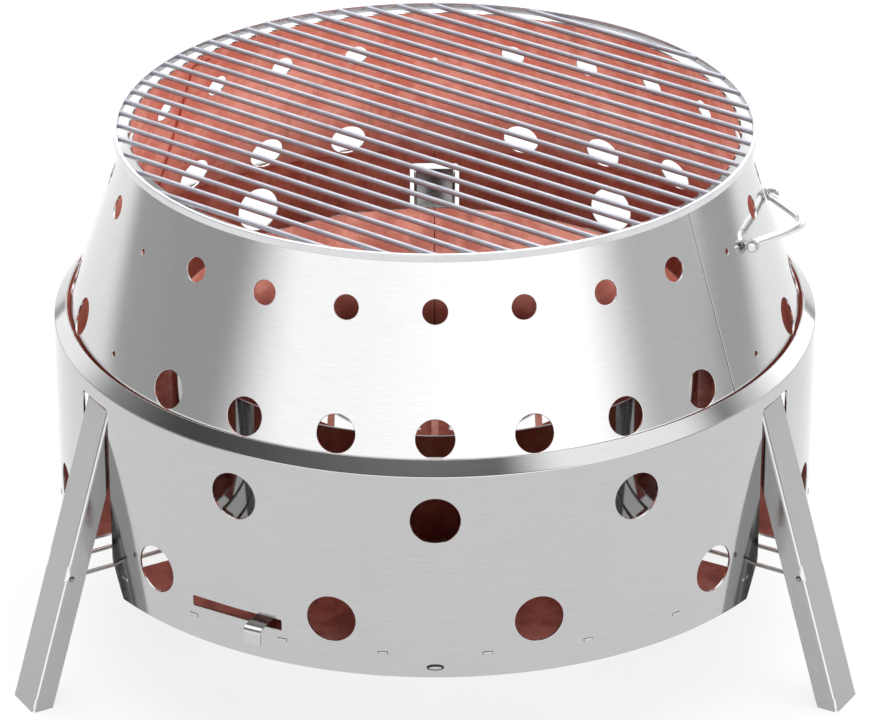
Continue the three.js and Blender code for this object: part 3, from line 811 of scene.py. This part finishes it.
def fire_ring():
    """The inner ring, with a notch over the damper's lever."""
    bottom = PLATE_TOP + 0.3
    profile = Profile([(FIRE_RING_RADIUS, bottom), (FIRE_RING_RADIUS, FIRE_RING_TOP)], 1)
    step = 2 * math.pi * FIRE_RING_RADIUS / 180
    end = math.pi * FIRE_RING_RADIUS
    flat = lambda azimuth: math.radians(azimuth) * FIRE_RING_RADIUS
    first, last = flat(LEVER_SLOT_AZIMUTHS[0] - 6), flat(LEVER_SLOT_AZIMUTHS[1] + 6)
    notch = FIRE_RING_NOTCH_TOP - bottom
    loop = [(-end, 0), (first, 0), (first, notch), (last, notch), (last, 0), (end, 0),
            (end, profile.length), (-end, profile.length)]
    border = divided(rounded(loop, [0.3, 0.8, 2, 2, 0.8, 0.3, 0.3, 0.3]), step)
    surface = turned_surface(profile, FIRE_RING_RADIUS)
    return [sheet(surface, border, [], THIN_SHEET, np.arange(-90, 91) * step, profile.stations(8), inner=1)]


piece("fire_ring_sheet", "fire_ring", ["fire_ring"], [fire_wall, fire_inside], fire_ring())

# ---------- base plate and air damper ----------


def arc(radius, first, last, count):
    """Points on a circle about the axis between two azimuths in degrees."""
    angles = np.radians(np.linspace(first, last, count))
    return [(radius * math.sin(a), -radius * math.cos(a)) for a in angles]


def vent_holes():
    """The ring of wedge-shaped air holes, clockwise."""
    half = VENTS["angle"] / 2
    holes = []
    for i in range(VENTS["count"]):
        middle = 360 * (i + 0.5) / VENTS["count"]
        outer = arc(VENTS["outer"], middle + half, middle - half, 7)
        inner = arc(VENTS["inner"], middle - half, middle + half, 4)
        holes.append(rounded(outer + inner, [1.5, 0, 0, 0, 0, 0, 1.5, 1.5, 0, 0, 1.5], 3))
    return holes


def rotated(shell, azimuth):
    turn = turn_matrix(azimuth).T
    return shell[0] @ turn, shell[1], shell[2] @ turn, shell[3], shell[4]


def level_sheet(border, holes, bottom, thickness, step):
    """A level sheet with its face and edges underneath and the inner material on top."""
    size = max(abs(c) for p in border for c in p)
    lines = np.arange(-math.ceil(size / step), math.ceil(size / step) + 1) * step
    return sheet(flat_surface(bottom, -1), border, holes, thickness, lines, lines, 0.25, 4, inner=1)


def plate_border():
    """The base plate's outline and corner radii: tabs at a steady pitch, and a slot for each leg."""
    tab_end, half_tab, half_slot = RING_RADIUS + 0.4, TAB_WIDTH / 2, PLATE_SLOT_WIDTH / 2
    tab = [(-half_tab, PLATE_RADIUS), (-half_tab, tab_end), (half_tab, tab_end), (half_tab, PLATE_RADIUS)]
    slot_end = math.sqrt(PLATE_RADIUS**2 - half_slot**2)
    slot = [(-half_slot, slot_end), (-half_slot, PLATE_SLOT_INNER),
            (half_slot, PLATE_SLOT_INNER), (half_slot, slot_end)]
    border, corners = [], []
    for azimuth in TAB_AZIMUTHS:
        border += in_plan(tab, azimuth)
        corners += [0, 0.5, 0.5, 0]
        middle = azimuth + 7.5
        if any((middle - leg) % 360 == 0 for leg in LEG_AZIMUTHS.values()):
            border += in_plan(slot, middle)
            corners += [0, 4, 4, 0]
        else:
            border += arc(PLATE_RADIUS, azimuth + 1.8, azimuth + 13.2, 5)
            corners += [0] * 5
    return border, corners


def base_plate():
    """The plate with its tabs, slots and vents, and the tongues that hold the fire ring in its place."""
    holes = vent_holes() + [circle(0, 0, PIVOT_HOLE, count=24)]
    shells = [level_sheet(rounded(*plate_border()), holes, PLATE_BOTTOM, SHEET, 26.0)]
    wall = Profile([(LOCATOR_RADIUS, PLATE_TOP), (LOCATOR_RADIUS, PLATE_TOP + LOCATOR_HEIGHT)], 1)
    half = LOCATOR_WIDTH / 2
    outline = rounded([(-half, 0), (half, 0), (half, LOCATOR_HEIGHT), (-half, LOCATOR_HEIGHT)], [0, 0, 2, 2])
    locator = sheet(strip_surface(wall), outline, [], THIN_SHEET, [-half / 2, 0, half / 2], [4], 0.25, 1)
    return shells + [rotated(locator, azimuth) for azimuth in LOCATOR_AZIMUTHS]


def air_damper():
    """The vented disc, with the holes of the rivets that hold its lever."""
    border = arc(DAMPER_RADIUS, 0, 360 * (1 - 1 / 144), 144)
    holes = vent_holes() + [circle(0, 0, PIVOT_HOLE, count=24)]
    a = math.radians(-LEVER_AZIMUTH)
    holes += [circle(r * math.sin(a), -r * math.cos(a), RIVET_HOLE, count=16) for r in RIVET_RADII]
    return [level_sheet(border, holes, DAMPER_TOP - THIN_SHEET, THIN_SHEET, 26.0)]


piece("base_plate_sheet", "grill_body", ["base_plate"], [small_steel, floor_plate],
      base_plate())
piece("air_damper_sheet", "damper", ["air_damper"], [small_steel, floor_plate],
      air_damper())

# ---------- legs and struts ----------


def leg():
    """A channel cut level at both ends, with the strut's holes in its sides, and the plate in its foot."""
    width, depth, tilt = LEG_WIDTH / 2, LEG_DEPTH, math.tan(math.radians(LEG_TILT))
    upright, lean = math.cos(math.radians(LEG_TILT)), math.sin(math.radians(LEG_TILT))
    section = Profile([(-width, depth), (-width, 0), (width, 0), (width, depth)], LEG_FOLD, 15)
    long = (LEG_TOP - FLOOR) / upright
    us = section.stations(4)
    shift = section.at(us)[0][:, 1] * tilt
    over = 0.6
    border = [(u, s - over) for u, s in zip(us, shift)]
    border += [(u, s + long + over) for u, s in zip(us[::-1], shift[::-1])]
    along = (LEG_PIVOT[1] - FLOOR) / upright
    side = (FOOT_RADIUS - LEG_PIVOT[0] - along * lean) / upright
    pivot_v = along + side * tilt
    holes = [circle(u, pivot_v, LEG_PIVOT_HOLE, count=20) for u in (depth - side, us[-1] - depth + side)]
    shell = sheet(leg_surface(section), divided(border, 9.0), holes, THIN_SHEET, us, np.arange(8, long, 9.0),
                  chamfer=0.28, clear=0.25, level=(FLOOR, LEG_TOP))
    half, outer, inner = width - 0.4, 0.5 - FOOT_RADIUS, depth / upright - FOOT_RADIUS - 0.3
    foot = rounded([(-half, outer), (half, outer), (half, inner), (-half, inner)], 1)
    plate = sheet(flat_surface(FLOOR + FOOT_PLATE), foot, [], FOOT_PLATE, [-6, 0, 6], [6 - FOOT_RADIUS],
                  chamfer=0.25)
    return [fold_highlighted(shell, section), plate]


def fold_highlighted(shell, section):
    """The leg's channel with a much brighter steel on its two folds: a painted highlight along them."""
    places, faces, normals, _, flat = shell
    near, far = LEG_DEPTH - LEG_FOLD + 0.9, LEG_DEPTH - LEG_FOLD + 2.1
    folds = [(near, far), (section.length - far, section.length - near)]
    middles = [sum(flat[i][0] for i in face) / len(face) for face in faces]
    slots = [int(any(low < m < high for low, high in folds)) for m in middles]
    return places, faces, normals, slots, flat


def strut():
    """The wire through both sides of the leg and back to its hinge under the base plate."""
    w, tip = STRUT_HALF_WIDTH, LEG_WIDTH / 2 + 1.4
    at = lambda x, place: (x, -place[0], place[1])
    path = filleted([at(-tip, LEG_PIVOT), at(-w, LEG_PIVOT), at(-w, STRUT_HINGE), at(w, STRUT_HINGE),
                     at(w, LEG_PIVOT), at(tip, LEG_PIVOT)], [1.6, 2.4, 2.4, 1.6])
    return [tube(path, STRUT_WIRE / 2, 16, 0.35)]


for side, azimuth in LEG_AZIMUTHS.items():
    piece(f"leg_{side}_channel", f"leg_{side}", [f"leg_{side}"], [leg_steel, fold_highlight_steel],
          leg(), azimuth)
    piece(f"strut_{side}_wire", f"strut_{side}", [f"strut_{side}"], [strut_steel],
          strut(), azimuth)

# ---------- damper lever ----------


def damper_lever():
    """The strip from the damper's rivets, over its step and out of the slot to its bent-down tip."""
    tip, outer, inner = LEVER_TIP[0], *LEVER_STEP_RADII
    profile = Profile([LEVER_TIP, (tip, LEVER_TOP), (outer, LEVER_TOP), (inner, LEVER_FOOT),
                       (LEVER_INNER_END, LEVER_FOOT)], [4.2, 1.8, 1.8], 9)
    half = LEVER_WIDTH / 2
    loop = rounded([(-half, 0), (half, 0), (half, profile.length), (-half, profile.length)], 1.2)
    marks = profile.stations(6)
    along = [v for v in marks if 1.5 < v < profile.length - 1.5]
    split = len(loop) // 2
    border = loop[:split] + [(half, v) for v in along] + loop[split:] + [(-half, v) for v in along[::-1]]
    holes = [circle(0, profile.length - (r - LEVER_INNER_END), RIVET_HOLE, count=24) for r in RIVET_RADII]
    us = np.array([-half / 3, half / 3])
    return [sheet(strip_surface(profile), border, holes, THIN_SHEET, us, marks, chamfer=0.25, clear=0.2)]


piece("damper_lever_strip", "damper", ["damper_lever"], [small_steel],
      damper_lever(), LEVER_AZIMUTH)

# ---------- carry handle ----------


def carry_handle():
    """The bowed wire between the two eyes."""
    bend = lambda share: math.hypot(share, HANDLE_ROUND) - HANDLE_ROUND
    path = []
    for x in np.linspace(-HANDLE_EYE_OFFSET - 4, HANDLE_EYE_OFFSET + 4, 61):
        across = min(1, abs(x) / (HANDLE_EYE_OFFSET - 3))
        path.append((x, -HANDLE_AXIS_RADIUS - HANDLE_REACH * (1 - bend(across) / bend(1)), HANDLE_HEIGHT))
    return [tube(path, HANDLE_WIRE / 2, 24, 0.7)]


def handle_eye(side):
    """A round lug that starts at the cone's face, with the bail's bore."""
    x, half_sheet = side * HANDLE_EYE_OFFSET, HANDLE_EYE_SHEET / 2
    out, height, radius = HANDLE_AXIS_RADIUS, HANDLE_HEIGHT, HANDLE_EYE_RADIUS
    turns = np.radians(np.linspace(-131, 131, 33))
    outline = [(out + radius * math.cos(a), height + radius * math.sin(a)) for a in turns]
    border = []
    for u, v in outline + [(0, height + 3), (0, height - 3)]:
        cone = CONE_RADIUS_AT_BOTTOM - CONE_SLOPE * (v - CONE_BOTTOM)
        border.append((max(u, math.sqrt(cone**2 - (abs(x) - half_sheet) ** 2) + 0.35), v))
    hole = circle(out, height, HANDLE_WIRE + 0.6, count=32)
    us = [out - 3.4, out + 3.4]
    return [sheet(lug_surface(x - half_sheet), border, [hole], HANDLE_EYE_SHEET, us, [height], 0.3, 0.3)]


piece("carry_handle_bail", "handle", ["carry_handle"], [bright_wire],
      carry_handle(), HANDLE_AZIMUTH)
for name, side in (("near", -1), ("far", 1)):
    piece(f"handle_eye_{name}_lug", "cone", [f"handle_eye_{name}"], [small_steel],
          handle_eye(side), HANDLE_AZIMUTH)

# ---------- carried-over CAD nodes ----------

CARRIED = {
    inside_cone: ["seam_strap_front", "seam_strap_rear"],
    small_steel: ["damper_pivot", "lever_rivet_inner", "lever_rivet_outer", "strut_clip_left",
                  "strut_clip_right", "strut_clip_rear", "cone_rest_1", "cone_rest_2", "cone_rest_3"],
    sooty_bar: ["charcoal_grate"],
}
for material, names in CARRIED.items():
    for name in names:
        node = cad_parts[name]
        node.data.materials.clear()
        node.data.materials.append(material)
        ease = node.modifiers.new("eased_edges", "BEVEL")
        ease.width = 0.00025
        ease.segments = 2
        ease.limit_method = "ANGLE"
        ease.angle_limit = math.radians(50)

# ---------- floor, light and camera ----------


# each softbox: azimuth, elevation, core and edge angles in degrees, and radiance
SOFTBOXES = ((70, 46, 12, 30, 1.4), (180, 74, 20, 52, 2.6), (126, 12, 8, 32, 0.6))
CAMERA_PLACE = (-0.0022, -2.3444, 1.2864)
CAMERA_ELEVATION = 26.14
CAMERA_TURN = -0.07


def studio_floor():
    """A pale floor that gives off most of its own light and turns greyer far out to the sides."""
    mesh = bpy.data.meshes.new("floor")
    r = 14.0
    mesh.from_pydata([(-r, -r, 0), (r, -r, 0), (r, r, 0), (-r, r, 0)], [], [(0, 1, 2, 3)])
    made = bpy.data.objects.new("floor", mesh)
    bpy.context.scene.collection.objects.link(made)
    f = Finish("pale_floor")
    across = f.node("ShaderNodeMapping", Vector=f.place(), Scale=(1, 0.4, 1)).outputs[0]
    far = f.node("ShaderNodeVectorMath", {"operation": "LENGTH"}, i0=across).outputs["Value"]
    near = f.ramp(far, 1.2, 2.3, 1.0, 0.42)
    tone = f.math("MULTIPLY", near, f.ramp(f.noise(f.place(), 2.0), 0.3, 0.7, 0.98, 1.0))
    f.put(f.shader.inputs["Base Color"], f.mix(tone, grey(0.0), grey(0.2)))
    f.put(f.shader.inputs["Emission Color"], grey(1.0))
    f.put(f.shader.inputs["Emission Strength"], f.math("MULTIPLY", tone, 0.78))
    f.shader.inputs["Roughness"].default_value = 0.9
    f.shader.inputs["Specular IOR Level"].default_value = 0.1
    mesh.materials.append(f.material)


def direction(azimuth, elevation):
    a, e = math.radians(azimuth), math.radians(elevation)
    return (math.sin(a) * math.cos(e), -math.cos(a) * math.cos(e), math.sin(e))


def studio_light():
    """A white studio as a world: a broad low softbox in front, paler sides, a bright back and ceiling."""
    world = bpy.data.worlds.new("studio")
    bpy.context.scene.world = world
    world.use_nodes = True
    f = Nodes(world.node_tree)
    ray = f.node("ShaderNodeTexCoord").outputs["Generated"]
    parts = f.node("ShaderNodeSeparateXYZ", Vector=ray).outputs
    level = f.math("SQRT", f.math("SUBTRACT", 1.0, f.math("MULTIPLY", parts[2], parts[2])))
    facing = f.math("DIVIDE", parts[1], f.math("MAXIMUM", level, 0.01))
    low = f.ramp(parts[2], 0.36, 0.62, 1.0, 0.0)
    front = f.ramp(facing, -0.72, -0.3, 1.05, 0.0)
    back = f.ramp(facing, 0.36, 0.66, 0.0, 1.05)
    sides = f.ramp(parts[0], -0.5, 0.5, 0.35, 0.58)
    total = f.math("MULTIPLY", low, f.math("ADD", sides, f.math("ADD", front, back)))
    for azimuth, elevation, core, edge, radiance in SOFTBOXES:
        cosine = f.node("ShaderNodeVectorMath", {"operation": "DOT_PRODUCT"}, i0=ray,
                        i1=direction(azimuth, elevation)).outputs["Value"]
        soft = f.ramp(cosine, math.cos(math.radians(edge)), math.cos(math.radians(core)), 0.0, radiance)
        total = f.math("ADD", total, soft)
    background = f.tree.nodes["Background"]
    f.put(background.inputs["Strength"], f.math("ADD", total, 0.11))
    background.inputs["Color"].default_value = (1, 1, 1, 1)


def inner_fill():
    """A soft light low in the fire ring, facing up, that opens up the inside as a studio fill would."""
    data = bpy.data.lights.new("inner_fill", "AREA")
    data.shape = "DISK"
    data.size = 0.2
    data.energy = 0.42
    made = bpy.data.objects.new("inner_fill", data)
    made.location = (AXIS[0], AXIS[1], AXIS[2] + 0.045)
    made.rotation_euler = (math.pi, 0, 0)
    made.visible_camera = False
    made.visible_glossy = False
    bpy.context.scene.collection.objects.link(made)


def camera():
    data = bpy.data.cameras.new("camera")
    data.lens = 187.2
    data.sensor_width = 36.0
    data.clip_end = 100
    made = bpy.data.objects.new("camera", data)
    made.location = CAMERA_PLACE
    made.rotation_euler = (math.radians(90 - CAMERA_ELEVATION), 0, math.radians(CAMERA_TURN))
    bpy.context.scene.collection.objects.link(made)
    bpy.context.scene.camera = made


studio_floor()
studio_light()
inner_fill()
camera()
bpy.context.scene.view_settings.view_transform = "Standard"
